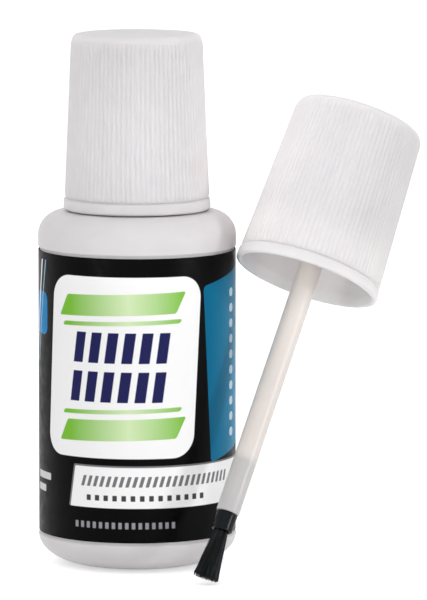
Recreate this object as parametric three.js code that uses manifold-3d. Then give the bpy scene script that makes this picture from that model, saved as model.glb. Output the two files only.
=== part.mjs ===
// Correction fluid bottle with its brush cap screwed on, and the same brush cap standing loose beside it.
// Millimetres, +Z up. The origin is the middle of the bottle's base, and the front of the label faces -Y.

import * as THREE from "three";
import { mergeGeometries, mergeVertices } from "three/addons/utils/BufferGeometryUtils.js";
import Module from "manifold-3d";

const wasm = await Module();
wasm.setup();

// Clearances
const seatGap = 0.3; // between applicator pieces that seat on, in or around each other
const adhesiveGap = 0.1; // between the label film and the bottle wall
const wiperPlugGap = 0.1; // between the wiper's plug and the neck bore, all round
const wiperBrushGap = 0.35; // between the brush's widest strand and the wiper's orifice
const fluidGap = 0.3; // between the fluid and each solid that it wets
const ballGap = 0.1; // under a mixing ball that lies on the floor of the bottle
const threadGap = 0.3; // from a thread's crest to the wall that it faces
const capSkirtGap = 0.4; // between the cap's lower edge and the bottle's shoulder
const brushToFloor = 4.1; // from the closed brush's tip down to the bottle's floor
const looseTuckIn = 0.6; // the loose cap's radius, less the distance of its middle from the bottle's side
const looseBrushGap = 0.1; // under the loose brush's lowest strand

// Bottle
const bodyRadius = 14;
const bodyWall = 1;
const baseThickness = 1.2;
const baseCornerWidth = 7.2;
const baseCornerHeight = 4.2;
const baseHollowDepth = 0.4;
const baseHollowDraft = 0.4;
const baseRingWidth = 1.4;
const gatePadRadius = 2.2;
const shoulderHeight = 49.9;
const shoulderCornerRadius = 3.4;
const shoulderRise = 0.4;
const neckRadius = 6.65;
const neckWall = 1.25;
const neckLength = 12.7;
const neckChamfer = 0.4;

// Screw thread
const threadPitch = 2.1;
const threadHeight = 0.75;
const threadRootWidth = 1.2;
const threadCrestWidth = 0.4;
const threadTurns = 1.25;
const threadBelowNeckTop = 2;
const threadRootDepth = 0.3;
const threadRunOut = 0.12; // of a turn, at each end

// Label and the recessed panel that it lies in
const labelThickness = 0.15;
const labelSeamWidth = 1.6;
const panelDepth = 0.3;
const panelAboveCorner = 0.3;
const panelBelowShoulder = 1.3;
const panelMargin = 0.2; // from the panel's edges to the label's, below and above

// Neck wiper
const wiperFlangeThickness = 0.8;
const wiperFlangeInset = 0.15;
const wiperPlugDepth = 7;
const wiperPlugWall = 0.8;
const wiperFloorThickness = 0.8;

// Contents
const fluidLevel = 40;
const ballRadius = 2.38;
const ballOrbit = 7;
const ballAngles = [-50, 140];

// Overcap
const capHeight = 24.8;
const capSkirtMargin = 2; // from the closure's side to the cap's, at the cap's lower edge
const capTaper = THREE.MathUtils.degToRad(2.42);
const capWall = 0.8;
const capLipThickness = 0.75;
const capLipChamfer = 0.15;
const capMouthDepth = 1.6;
const capCrownThickness = 0.9;
const capTopFillet = 0.9;
const capInnerFillet = 0.5;
const capBandHeight = 1.7;
const capBandProud = 0.1;
const ribCount = 88;
const ribDepth = 0.13;
const ribEndSlope = 0.2;
const gripFinCount = 6;
const gripFinThickness = 0.8;
const gripFinRise = 1;

// Screw closure
const closureWall = 0.7;
const closureSkirtRecess = 6.1;
const closureCrownThickness = 1.2;
const closureLeadIn = 0.3;
const bossWall = 1.45;
const stemSocketDepth = 4.9;

// Liner and stem
const linerThickness = 1;
const stemRadius = 1.65;
const stemFlangeThickness = 0.8;
const stemTipChamfer = 0.2;
const stemEndBoreRadius = 1.3;
const stemEndBoreDepth = 8;

// Tuft collar and staple
const collarRadius = 1.5;
const collarWall = 0.3;
const collarLength = 2.4;
const collarBoreDepth = 2;
const spigotLength = 3;
const spigotEndWall = 0.3;
const stapleBoreRadius = 0.75;
const stapleThickness = 0.25;
const stapleHeight = 1.6;

// Tuft of bristles
const strandCount = 150;
const strandRadius = 0.05;
const tuftBackingThickness = 0.5;
const tuftBackingMargin = 0.08;
const tuftFreeLength = 7.1;
const tuftTipHalfWidth = 1.87;
const tuftTipHalfDepth = 1.35;
const tuftUnevenness = 0.45;
const strandRootDepth = 0.1;

// Stance of the loose applicator, with the middle of its cap's lower edge as its own origin
const looseY = -5;
const looseLeanSide = THREE.MathUtils.degToRad(19.5);
const looseLeanBack = THREE.MathUtils.degToRad(20);

// Facets round each turned shape
const bottleSegments = 40;
const wiperSegments = 28;
const capSegments = ribCount / 2;
const closureSegments = 28;
const stemSegments = 20;
const collarSegments = 16;
const threadStepsPerTurn = 28;
const ballSegments = 12;
const cornerSteps = 4;
const baseCornerSteps = 6;

// Levels on the bottle
const neckBase = shoulderHeight + shoulderRise;
const neckTop = neckBase + neckLength;
const neckBore = neckRadius - neckWall;
const innerRadius = bodyRadius - bodyWall;
const innerCornerWidth = baseCornerWidth - bodyWall;
const innerCornerHeight = baseCornerHeight - baseThickness;
const shoulderCorner = shoulderHeight - shoulderCornerRadius;
const panelBottom = baseCornerHeight + panelAboveCorner;
const panelTop = shoulderCorner - panelBelowShoulder - panelDepth;
const labelBottom = panelBottom + panelMargin;
const labelTop = panelTop - panelMargin;
const threadCrestRadius = neckRadius + threadHeight;
const threadRise = threadPitch * threadTurns;
const threadStart = neckTop - threadBelowNeckTop - threadRise;
const wiperOrifice = tuftTipHalfWidth + wiperBrushGap;
const capBase = shoulderHeight + capSkirtGap;

// Levels on the applicator, from the cap's lower edge
const capInnerTop = capHeight - capCrownThickness;
const linerBottom = neckTop + wiperFlangeThickness - capBase;
const linerTop = linerBottom + linerThickness;
const stemFlangeBottom = linerTop + seatGap;
const stemFlangeTop = stemFlangeBottom + stemFlangeThickness;
const crownBottom = stemFlangeTop + seatGap;
const crownTop = crownBottom + closureCrownThickness;
const bossTop = capInnerTop - seatGap;
const socketTop = crownBottom + stemSocketDepth;
const stemTop = socketTop - seatGap;
const brushTip = baseThickness + brushToFloor - capBase;
const collarBottom = brushTip + tuftFreeLength;
const collarTop = collarBottom + collarLength;
const stemEnd = collarTop + seatGap;
const collarBoreTop = collarBottom + collarBoreDepth;
const spigotTop = collarTop + spigotLength;
const stapleBoreTop = spigotTop - spigotEndWall;
const backingTop = collarBoreTop - seatGap;
const backingBottom = backingTop - tuftBackingThickness;
const stapleBottom = backingTop + seatGap;

// Radii on the applicator
const closureInnerRadius = threadCrestRadius + threadGap;
const closureRadius = closureInnerRadius + closureWall;
const capSkirtRadius = closureRadius + capSkirtMargin;
const closureThreadCrest = closureInnerRadius - threadHeight;
const flangeRadius = closureThreadCrest - seatGap;
const stemSocketRadius = stemRadius + seatGap;
const bossRadius = stemSocketRadius + bossWall;
const collarBoreRadius = collarRadius - collarWall;
const spigotRadius = stemEndBoreRadius - seatGap;
const stapleHalfWidth = stapleBoreRadius - seatGap;
const tuftBackingRadius = collarBoreRadius - seatGap;
const tuftRootRadius = tuftBackingRadius - tuftBackingMargin;

// Materials
const plastic = (color, roughness) => new THREE.MeshStandardMaterial({ color, roughness, metalness: 0 });
const metal = (color, roughness) => new THREE.MeshStandardMaterial({ color, roughness, metalness: 1 });
const bottleWhite = plastic(0xf2f2f4, 0.35);
const labelBlack = plastic(0x0b0b0d, 0.3);
const wiperNatural = plastic(0xf4f1ec, 0.4);
const fluidWhite = plastic(0xfbfbf8, 0.2);
const ballSteel = metal(0xb9bcc0, 0.2);
const capWhite = plastic(0xf5f3f1, 0.4);
const closureWhite = plastic(0xefedea, 0.45);
const linerFoam = plastic(0xe9e7e2, 0.8);
const stemTranslucent = plastic(0xece4df, 0.3);
const collarBlack = plastic(0x151517, 0.35);
const stapleSteel = metal(0xc4c0b4, 0.3);
const bristleBlack = plastic(0x121216, 0.5);

// Solids
const at = (radius, height) => new THREE.Vector2(radius, height);

function ovalArc(radius, height, width, rise, fromDegrees, toDegrees, steps) {
  const from = THREE.MathUtils.degToRad(fromDegrees);
  const to = THREE.MathUtils.degToRad(toDegrees);
  return new THREE.EllipseCurve(radius, height, width, rise, from, to, to < from).getPoints(steps);
}

function arc(radius, height, size, fromDegrees, toDegrees, steps = cornerSteps) {
  return ovalArc(radius, height, size, size, fromDegrees, toDegrees, steps);
}

function signedVolume(points, corners) {
  const a = new THREE.Vector3();
  const b = new THREE.Vector3();
  const c = new THREE.Vector3();
  let volume = 0;
  for (let i = 0; i < corners.length; i += 3) {
    a.fromBufferAttribute(points, corners[i]);
    b.fromBufferAttribute(points, corners[i + 1]);
    c.fromBufferAttribute(points, corners[i + 2]);
    volume += a.dot(b.cross(c)) / 6;
  }
  return volume;
}

// Welds a closed surface, drops its collapsed triangles at the axis and turns its faces outwards.
function solidOf(geometry) {
  const bare = geometry.clone();
  bare.deleteAttribute("normal");
  bare.deleteAttribute("uv");
  const welded = mergeVertices(bare);
  const corners = [];
  for (let i = 0; i < welded.index.count; i += 3) {
    const [a, b, c] = welded.index.array.slice(i, i + 3);
    if (a !== b && b !== c && c !== a) {
      corners.push(a, b, c);
    }
  }
  if (signedVolume(welded.attributes.position, corners) < 0) {
    corners.reverse();
  }
  const vertProperties = Float32Array.from(welded.attributes.position.array);
  const triVerts = Uint32Array.from(corners);
  return new wasm.Manifold(new wasm.Mesh({ numProp: 3, vertProperties, triVerts }));
}

function revolve(profile, segments) {
  return solidOf(new THREE.LatheGeometry(profile, segments).rotateX(Math.PI / 2));
}

function ring(count, height, radiusAt) {
  return Array.from({ length: count }, (_, i) => {
    const angle = (2 * Math.PI * i) / count;
    return new THREE.Vector3(radiusAt(i) * Math.cos(angle), radiusAt(i) * Math.sin(angle), height);
  });
}

// A closed solid through a stack of rings. A ring may have a multiple of its neighbour's points.
function ringStack(rings) {
  const points = rings.flat();
  const bottomCentre = points.length;
  const topCentre = bottomCentre + 1;
  points.push(new THREE.Vector3(0, 0, rings[0][0].z), new THREE.Vector3(0, 0, rings.at(-1)[0].z));
  const corners = [];
  let start = 0;
  rings.forEach((lower, level) => {
    const point = (first, count, i) => first + (i % count);
    const count = lower.length;
    const cap = (centre, a, b) => corners.push(centre, a, b);
    for (let i = 0; i < count && level === 0; i += 1) {
      cap(bottomCentre, point(start, count, i + 1), start + i);
    }
    for (let i = 0; i < count && level === rings.length - 1; i += 1) {
      cap(topCentre, start + i, point(start, count, i + 1));
    }
    const upper = rings[level + 1] ?? [];
    const upperStart = start + count;
    let i = 0;
    let j = 0;
    while (upper.length && (i < count || j < upper.length)) {
      const a = point(start, count, i);
      const b = point(upperStart, upper.length, j);
      if ((i + 0.5) / count <= (j + 0.5) / upper.length) {
        i += 1;
        corners.push(a, point(start, count, i), b);
      } else {
        j += 1;
        corners.push(a, point(upperStart, upper.length, j), b);
      }
    }
    start = upperStart;
  });
  return solidOf(new THREE.BufferGeometry().setFromPoints(points).setIndex(corners));
}

function cylinder(radius, bottom, top, segments) {
  return revolve([at(0, bottom), at(radius, bottom), at(radius, top), at(0, top)], segments);
}

function box(width, depth, bottom, top, x = 0, y = 0) {
  const shape = new THREE.BoxGeometry(width, depth, top - bottom);
  return solidOf(shape.translate(x, y, (bottom + top) / 2));
}

// A closed prism between two triangles whose corners match one to one.
function triangularPrism(lower, upper) {
  const prism = new THREE.BufferGeometry().setFromPoints([...lower, ...upper]);
  return prism.setIndex([0, 2, 1, 3, 4, 5, 0, 1, 4, 0, 4, 3, 1, 2, 5, 1, 5, 4, 2, 0, 3, 2, 3, 5]);
}

// A helical ridge of trapezoid section, with its root sunk into the wall, and its crest too at both ends.
function threadRidge(wallRadius, crestRadius, startHeight) {
  const rootRadius = wallRadius + Math.sign(wallRadius - crestRadius) * threadRootDepth;
  const steps = Math.round(threadTurns * threadStepsPerTurn);
  const runOutSteps = threadRunOut * threadStepsPerTurn;
  const points = [];
  const corners = [];
  for (let i = 0; i <= steps; i += 1) {
    const angle = (2 * Math.PI * threadTurns * i) / steps;
    const height = startHeight + (threadRise * i) / steps;
    const fullness = Math.min(1, (i + 1) / (runOutSteps + 1), (steps - i + 1) / (runOutSteps + 1));
    const crest = rootRadius + (crestRadius - rootRadius) * fullness;
    const section = [
      at(rootRadius, height - threadRootWidth / 2),
      at(crest, height - threadCrestWidth / 2),
      at(crest, height + threadCrestWidth / 2),
      at(rootRadius, height + threadRootWidth / 2),
    ];
    for (const { x: radius, y: z } of section) {
      points.push(new THREE.Vector3(radius * Math.cos(angle), radius * Math.sin(angle), z));
    }
  }
  for (let i = 0; i < steps; i += 1) {
    for (let side = 0; side < 4; side += 1) {
      const a = 4 * i + side;
      const b = 4 * i + ((side + 1) % 4);
      corners.push(a, a + 4, b, b, a + 4, b + 4);
    }
  }
  const last = 4 * steps;
  corners.push(0, 1, 2, 0, 2, 3, last, last + 2, last + 1, last, last + 3, last + 2);
  return solidOf(new THREE.BufferGeometry().setFromPoints(points).setIndex(corners));
}

function mesh(name, solid, material) {
  const { vertProperties, triVerts } = solid.getMesh();
  const geometry = new THREE.BufferGeometry();
  geometry.setAttribute("position", new THREE.BufferAttribute(vertProperties, 3));
  geometry.setIndex(new THREE.BufferAttribute(triVerts, 1));
  geometry.computeVertexNormals();
  const result = new THREE.Mesh(geometry, material);
  result.name = name;
  return result;
}

// Bottle: blow-moulded body with a recessed label panel, a hollowed base and a threaded neck
function bottleBody() {
  const ringOuter = bodyRadius - baseCornerWidth;
  const ringInner = ringOuter - baseRingWidth;
  const panelRadius = bodyRadius - panelDepth;
  const outside = [
    at(0, 0),
    at(gatePadRadius, 0),
    at(gatePadRadius + baseHollowDraft, baseHollowDepth),
    at(ringInner - baseHollowDraft, baseHollowDepth),
    at(ringInner, 0),
    ...ovalArc(ringOuter, baseCornerHeight, baseCornerWidth, baseCornerHeight, -90, 0, baseCornerSteps),
    at(panelRadius, panelBottom),
    at(panelRadius, panelTop),
    at(bodyRadius, panelTop + panelDepth),
    ...arc(bodyRadius - shoulderCornerRadius, shoulderCorner, shoulderCornerRadius, 0, 90),
    at(neckRadius, neckBase),
    at(neckRadius, neckTop - neckChamfer),
    at(neckRadius - neckChamfer, neckTop),
  ];
  const inside = [
    at(neckBore, neckTop),
    at(neckBore, neckBase - bodyWall),
    ...arc(bodyRadius - shoulderCornerRadius, shoulderCorner, shoulderCornerRadius - bodyWall, 90, 0),
    ...ovalArc(ringOuter, baseCornerHeight, innerCornerWidth, innerCornerHeight, 0, -90, baseCornerSteps),
    at(0, baseThickness),
  ];
  const thread = threadRidge(neckRadius, threadCrestRadius, threadStart);
  return mesh("bottle_body", revolve([...outside, ...inside], bottleSegments).add(thread), bottleWhite);
}

// Label: one printed film wrapped round the panel, with its seam at the back
function wrapLabel() {
  const filmInner = bodyRadius - panelDepth + adhesiveGap;
  const filmOuter = filmInner + labelThickness;
  const film = revolve(
    [
      at(filmInner, labelBottom),
      at(filmOuter, labelBottom),
      at(filmOuter, labelTop),
      at(filmInner, labelTop),
      at(filmInner, labelBottom),
    ],
    bottleSegments,
  );
  const seam = box(labelSeamWidth, bodyRadius, 0, neckBase, 0, bodyRadius);
  return mesh("wrap_label", film.subtract(seam), labelBlack);
}

// Neck wiper: flanged plug in the neck, whose orifice strips the brush
function neckWiper() {
  const flangeTop = neckTop + wiperFlangeThickness;
  const plugRadius = neckBore - wiperPlugGap;
  const plugBottom = neckTop - wiperPlugDepth;
  const cupRadius = plugRadius - wiperPlugWall;
  const profile = [
    at(wiperOrifice, plugBottom),
    at(plugRadius, plugBottom),
    at(plugRadius, neckTop),
    at(neckRadius - wiperFlangeInset, neckTop),
    at(neckRadius - wiperFlangeInset, flangeTop),
    at(cupRadius, flangeTop),
    at(cupRadius, plugBottom + wiperFloorThickness),
    at(wiperOrifice, plugBottom + wiperFloorThickness),
    at(wiperOrifice, plugBottom),
  ];
  return mesh("neck_wiper", revolve(profile, wiperSegments), wiperNatural);
}

function ballPlace(degrees) {
  const angle = THREE.MathUtils.degToRad(degrees);
  return at(ballOrbit * Math.cos(angle), ballOrbit * Math.sin(angle));
}

// Fluid: fills the bottle up to its level, open round the brush and round each ball
function correctionFluid() {
  const radius = innerRadius - fluidGap;
  const bottom = baseThickness + fluidGap;
  const cornerRadius = radius - innerCornerWidth;
  const cornerLevel = bottom + innerCornerHeight;
  const well = tuftTipHalfWidth + fluidGap;
  const profile = [
    at(well, bottom),
    ...ovalArc(cornerRadius, cornerLevel, innerCornerWidth, innerCornerHeight, -90, 0, baseCornerSteps),
    at(radius, fluidLevel),
    at(well, fluidLevel),
    at(well, bottom),
  ];
  const pocketRadius = ballRadius + fluidGap;
  const pocketTop = baseThickness + ballGap + 2 * ballRadius + fluidGap;
  let fluid = revolve(profile, bottleSegments);
  for (const degrees of ballAngles) {
    const { x, y } = ballPlace(degrees);
    fluid = fluid.subtract(cylinder(pocketRadius, 0, pocketTop, ballSegments).translate(x, y, 0));
  }
  return mesh("correction_fluid", fluid, fluidWhite);
}

// Mixing balls: loose steel balls on the floor of the bottle
function mixingBall(name, degrees) {
  const half = arc(0, 0, ballRadius, -90, 90, ballSegments / 2);
  const ball = mesh(name, revolve(half, ballSegments), ballSteel);
  const { x, y } = ballPlace(degrees);
  ball.position.set(x, y, baseThickness + ballGap + ballRadius);
  return ball;
}

// Overcap: tapered shell with a plain band at its edge, fine ribs above it and fins that hold the closure
const capCrestRadius = (height) => capSkirtRadius - capBandProud - height * Math.tan(capTaper);
const capRootRadius = (height) => capCrestRadius(height) - ribDepth;
const capInnerRadius = (height) => capRootRadius(height) - capWall;

function gripFins() {
  const inner = closureRadius + seatGap;
  const bottom = closureSkirtRecess + gripFinRise;
  const outer = (height) => capInnerRadius(height) + capWall / 2;
  const side = new THREE.Shape([
    at(inner, bottom),
    at(outer(bottom), bottom),
    at(outer(crownTop), crownTop),
    at(inner, crownTop),
  ]);
  const fins = [];
  for (let i = 0; i < gripFinCount; i += 1) {
    const fin = new THREE.ExtrudeGeometry(side, { depth: gripFinThickness, bevelEnabled: false });
    fin.translate(0, 0, -gripFinThickness / 2).rotateX(Math.PI / 2);
    fins.push(fin.rotateZ((2 * Math.PI * i) / gripFinCount));
  }
  return solidOf(mergeGeometries(fins));
}

function ribbedOutside() {
  const ribBase = capBandHeight + ribEndSlope;
  const filletBase = capHeight - capTopFillet;
  const ribTop = filletBase - ribEndSlope;
  const plain = (radius, height) => ring(capSegments, height, () => radius);
  const ribbed = (height) =>
    ring(2 * ribCount, height, (i) => (i % 2 ? capCrestRadius(height) : capRootRadius(height)));
  const fillet = arc(capRootRadius(filletBase) - capTopFillet, filletBase, capTopFillet, 0, 90);
  return ringStack([
    plain(capSkirtRadius - capLipChamfer, 0),
    plain(capSkirtRadius, capLipChamfer),
    plain(capCrestRadius(capBandHeight) + capBandProud, capBandHeight - capBandProud),
    plain(capRootRadius(capBandHeight), capBandHeight),
    ribbed(ribBase),
    ribbed(ribTop),
    ...fillet.map(({ x: radius, y: height }) => plain(radius, height)),
  ]);
}

function overcap(name) {
  const mouthRadius = capSkirtRadius - capLipThickness;
  const filletBase = capInnerTop - capInnerFillet;
  const cavity = [
    at(0, -capMouthDepth),
    at(mouthRadius, -capMouthDepth),
    at(mouthRadius, 0),
    at(capInnerRadius(capMouthDepth), capMouthDepth),
    ...arc(capInnerRadius(filletBase) - capInnerFillet, filletBase, capInnerFillet, 0, 90, 1),
    at(0, capInnerTop),
  ];
  const shell = ribbedOutside().subtract(revolve(cavity, capSegments));
  return mesh(name, shell.add(gripFins()), capWhite);
}

// Screw closure: threaded inner cap with a crown and a boss that the stem plugs into
function screwClosure(name) {
  const profile = [
    at(0, socketTop),
    at(stemSocketRadius, socketTop),
    at(stemSocketRadius, crownBottom),
    at(closureInnerRadius, crownBottom),
    at(closureInnerRadius, closureSkirtRecess + closureLeadIn),
    at(closureInnerRadius + closureLeadIn, closureSkirtRecess),
    at(closureRadius, closureSkirtRecess),
    at(closureRadius, crownTop - closureLeadIn),
    at(closureRadius - closureLeadIn, crownTop),
    at(bossRadius, crownTop),
    at(bossRadius, bossTop),
    at(0, bossTop),
  ];
  const threadBottom = threadStart - threadPitch / 2 - capBase;
  const thread = threadRidge(closureInnerRadius, closureThreadCrest, threadBottom);
  return mesh(name, revolve(profile, closureSegments).add(thread), closureWhite);
}

// Sealing liner: soft washer under the stem's flange
function sealingLiner(name) {
  const profile = [
    at(stemSocketRadius, linerBottom),
    at(flangeRadius, linerBottom),
    at(flangeRadius, linerTop),
    at(stemSocketRadius, linerTop),
    at(stemSocketRadius, linerBottom),
  ];
  return mesh(name, revolve(profile, wiperSegments), linerFoam);
}

// Brush stem: rod with a flange and a plug at its head, and a bore in its end for the tuft collar
function brushStem(name) {
  const boreTop = stemEnd + stemEndBoreDepth;
  const profile = [
    at(0, boreTop),
    at(stemEndBoreRadius, boreTop),
    at(stemEndBoreRadius, stemEnd),
    at(stemRadius, stemEnd),
    at(stemRadius, stemFlangeBottom),
    at(flangeRadius, stemFlangeBottom),
    at(flangeRadius, stemFlangeTop),
    at(stemRadius, stemFlangeTop),
    at(stemRadius, stemTop - stemTipChamfer),
    at(stemRadius - stemTipChamfer, stemTop),
    at(0, stemTop),
  ];
  return mesh(name, revolve(profile, stemSegments), stemTranslucent);
}

// Tuft collar: black bush with a spigot in the stem and a bore for the tuft
function tuftCollar(name) {
  const profile = [
    at(0, stapleBoreTop),
    at(stapleBoreRadius, stapleBoreTop),
    at(stapleBoreRadius, collarBoreTop),
    at(collarBoreRadius, collarBoreTop),
    at(collarBoreRadius, collarBottom),
    at(collarRadius, collarBottom),
    at(collarRadius, collarTop),
    at(spigotRadius, collarTop),
    at(spigotRadius, spigotTop),
    at(0, spigotTop),
  ];
  return mesh(name, revolve(profile, collarSegments), collarBlack);
}

// Tuft staple: flat metal anchor over the root of the tuft
function tuftStaple(name) {
  const plate = box(2 * stapleHalfWidth, stapleThickness, stapleBottom, stapleBottom + stapleHeight);
  return mesh(name, plate, stapleSteel);
}

// Bristles: straight strands in sunflower order on a backing disc, which fan out evenly, so that none cross
function bristles(name) {
  const goldenTurn = (3 - Math.sqrt(5)) / 2;
  const strandTriangle = (x, y, z) =>
    [0, 1, 2].map((corner) => {
      const angle = (2 * Math.PI * corner) / 3;
      return new THREE.Vector3(x + strandRadius * Math.cos(angle), y + strandRadius * Math.sin(angle), z);
    });
  const strands = [];
  for (let i = 0; i < strandCount; i += 1) {
    const reach = Math.sqrt((i + 0.5) / strandCount);
    const across = reach * Math.cos(2 * Math.PI * goldenTurn * i);
    const deep = reach * Math.sin(2 * Math.PI * goldenTurn * i);
    const shortfall = tuftUnevenness * ((goldenTurn * i * i) % 1);
    const tip = strandTriangle(tuftTipHalfWidth * across, tuftTipHalfDepth * deep, brushTip + shortfall);
    const rootHeight = backingBottom + strandRootDepth;
    const root = strandTriangle(tuftRootRadius * across, tuftRootRadius * deep, rootHeight);
    strands.push(triangularPrism(tip, root));
  }
  const backing = cylinder(tuftBackingRadius, backingBottom, backingTop, collarSegments);
  return mesh(name, solidOf(mergeGeometries(strands)).add(backing), bristleBlack);
}

function applicator(prefix) {
  const group = new THREE.Group();
  group.add(overcap(`${prefix}overcap`));
  group.add(screwClosure(`${prefix}screw_closure`));
  group.add(sealingLiner(`${prefix}sealing_liner`));
  group.add(brushStem(`${prefix}brush_stem`));
  group.add(tuftCollar(`${prefix}tuft_collar`));
  group.add(tuftStaple(`${prefix}tuft_staple`));
  group.add(bristles(`${prefix}bristles`));
  return group;
}

// Stands the loose applicator on its lowest strand: leaned back, then to the side.
function standLoose(group) {
  group.rotation.set(-looseLeanBack, looseLeanSide, 0, "YXZ");
  const axisRise = Math.cos(looseLeanBack) * Math.cos(looseLeanSide);
  const tipDrop = Math.hypot(
    (tuftTipHalfWidth + strandRadius) * Math.sin(looseLeanSide),
    (tuftTipHalfDepth + strandRadius) * Math.sin(looseLeanBack) * Math.cos(looseLeanSide),
  );
  const standing = looseBrushGap + tipDrop - brushTip * axisRise;
  group.position.set(bodyRadius + capSkirtRadius - looseTuckIn, looseY, standing);
}

// Assembly
const bottleWithApplicators = new THREE.Group();
bottleWithApplicators.add(bottleBody(), wrapLabel(), neckWiper(), correctionFluid());
ballAngles.forEach((degrees, i) => {
  bottleWithApplicators.add(mixingBall(`mixing_ball_${i + 1}`, degrees));
});

const closedApplicator = applicator("");
closedApplicator.position.z = capBase;
bottleWithApplicators.add(closedApplicator);

const looseApplicator = applicator("loose_");
standLoose(looseApplicator);
bottleWithApplicators.add(looseApplicator);

export default bottleWithApplicators;
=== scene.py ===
import math

import bmesh
import bpy
import numpy as np
from mathutils import Matrix, Vector


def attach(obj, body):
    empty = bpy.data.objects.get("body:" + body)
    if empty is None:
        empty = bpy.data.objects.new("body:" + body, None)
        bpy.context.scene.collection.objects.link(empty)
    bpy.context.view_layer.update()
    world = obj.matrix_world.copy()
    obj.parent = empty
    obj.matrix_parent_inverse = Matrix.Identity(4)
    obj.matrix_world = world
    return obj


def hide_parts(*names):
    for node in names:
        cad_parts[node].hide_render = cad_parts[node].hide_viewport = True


# Correction fluid bottle with its brush cap on, and the same brush cap standing loose beside it.
# Sizes are in millimetres and named as in the part's source. The front of the label faces -Y.

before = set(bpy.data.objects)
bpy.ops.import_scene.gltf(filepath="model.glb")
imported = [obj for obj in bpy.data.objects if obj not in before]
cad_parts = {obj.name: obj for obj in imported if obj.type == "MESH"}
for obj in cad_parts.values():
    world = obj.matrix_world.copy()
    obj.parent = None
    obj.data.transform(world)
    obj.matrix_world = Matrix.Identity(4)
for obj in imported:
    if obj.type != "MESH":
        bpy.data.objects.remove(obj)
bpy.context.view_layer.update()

MM = 0.001

# Clearances
SEAT_GAP = 0.3
THREAD_GAP = 0.3
ADHESIVE_GAP = 0.1
WIPER_PLUG_GAP = 0.1
WIPER_BRUSH_GAP = 0.35
FLUID_GAP = 0.3
BALL_GAP = 0.1
CAP_SKIRT_GAP = 0.4
BRUSH_TO_FLOOR = 4.1
LOOSE_TUCK_IN = 0.6
LOOSE_BRUSH_GAP = 0.1

# Bottle
BODY_RADIUS = 14
BODY_WALL = 1
BASE_THICKNESS = 1.2
BASE_CORNER_WIDTH = 7.2
BASE_CORNER_HEIGHT = 4.2
BASE_HOLLOW_DEPTH = 0.4
BASE_HOLLOW_DRAFT = 0.4
BASE_RING_WIDTH = 1.4
GATE_PAD_RADIUS = 2.2
SHOULDER_HEIGHT = 49.9
SHOULDER_CORNER_RADIUS = 3.4
SHOULDER_RISE = 0.4
NECK_RADIUS = 6.65
NECK_WALL = 1.25
NECK_LENGTH = 12.7
NECK_CHAMFER = 0.4
NECK_BASE = SHOULDER_HEIGHT + SHOULDER_RISE
NECK_TOP = NECK_BASE + NECK_LENGTH
NECK_BORE = NECK_RADIUS - NECK_WALL
INNER_RADIUS = BODY_RADIUS - BODY_WALL
INNER_CORNER_WIDTH = BASE_CORNER_WIDTH - BODY_WALL
INNER_CORNER_HEIGHT = BASE_CORNER_HEIGHT - BASE_THICKNESS

# Screw thread
THREAD_PITCH = 2.1
THREAD_HEIGHT = 0.75
THREAD_ROOT_WIDTH = 1.2
THREAD_CREST_WIDTH = 0.4
THREAD_TURNS = 1.25
THREAD_BELOW_NECK_TOP = 2
THREAD_ROOT_DEPTH = 0.3
THREAD_RUN_OUT = 0.12
THREAD_SHOULDER_SHARE = 0.85
THREAD_SHOULDER_SPREAD = 0.12
THREAD_RISE = THREAD_PITCH * THREAD_TURNS
THREAD_START = NECK_TOP - THREAD_BELOW_NECK_TOP - THREAD_RISE
THREAD_CREST_RADIUS = NECK_RADIUS + THREAD_HEIGHT

# Label and the recessed panel that it lies in
LABEL_THICKNESS = 0.15
LABEL_SEAM_WIDTH = 1.6
PANEL_DEPTH = 0.3
PANEL_ABOVE_CORNER = 0.3
PANEL_BELOW_SHOULDER = 1.3
PANEL_MARGIN = 0.2
PANEL_BOTTOM = BASE_CORNER_HEIGHT + PANEL_ABOVE_CORNER
PANEL_TOP = SHOULDER_HEIGHT - SHOULDER_CORNER_RADIUS - PANEL_BELOW_SHOULDER - PANEL_DEPTH
LABEL_BOTTOM = PANEL_BOTTOM + PANEL_MARGIN
LABEL_TOP = PANEL_TOP - PANEL_MARGIN
FILM_INNER = BODY_RADIUS - PANEL_DEPTH + ADHESIVE_GAP
FILM_OUTER = FILM_INNER + LABEL_THICKNESS

# Neck wiper and contents
WIPER_FLANGE_THICKNESS = 0.8
WIPER_FLANGE_INSET = 0.15
WIPER_PLUG_DEPTH = 7
WIPER_PLUG_WALL = 0.8
WIPER_FLOOR_THICKNESS = 0.8
FLUID_LEVEL = 40
MENISCUS_WIDTH = 1
MENISCUS_DEPTH = 0.25
MENISCUS_ROUNDING = 0.8
BALL_RADIUS = 2.38
BALL_ORBIT = 7
BALL_ANGLES = (-50, 140)

# Overcap
CAP_HEIGHT = 24.8
CAP_SKIRT_MARGIN = 2
CAP_TAPER = math.tan(math.radians(2.42))
CAP_WALL = 0.8
CAP_LIP_THICKNESS = 0.75
CAP_MOUTH_DEPTH = 1.6
CAP_CROWN_THICKNESS = 0.9
CAP_TOP_FILLET = 0.9
CAP_INNER_FILLET = 0.5
CAP_BAND_HEIGHT = 1.7
CAP_BAND_PROUD = 0.1
CAP_GROOVE_WIDTH = 0.1
RIB_COUNT = 88
RIB_DEPTH = 0.13
RIB_ROUNDNESS = 1.2
RIB_END_LENGTH = 0.35
RIB_END_STEPS = 4
GRIP_FIN_COUNT = 6
GRIP_FIN_THICKNESS = 0.8
GRIP_FIN_FLAT_SHARE = 0.84
GRIP_FIN_ROUNDING = 0.08
GRIP_FIN_RISE = 1
GRIP_FIN_SINK = 0.05
CAP_BASE = SHOULDER_HEIGHT + CAP_SKIRT_GAP
CAP_INNER_TOP = CAP_HEIGHT - CAP_CROWN_THICKNESS
RIB_BASE = CAP_BAND_HEIGHT + CAP_GROOVE_WIDTH
RIB_TOP = CAP_HEIGHT - CAP_TOP_FILLET

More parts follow.
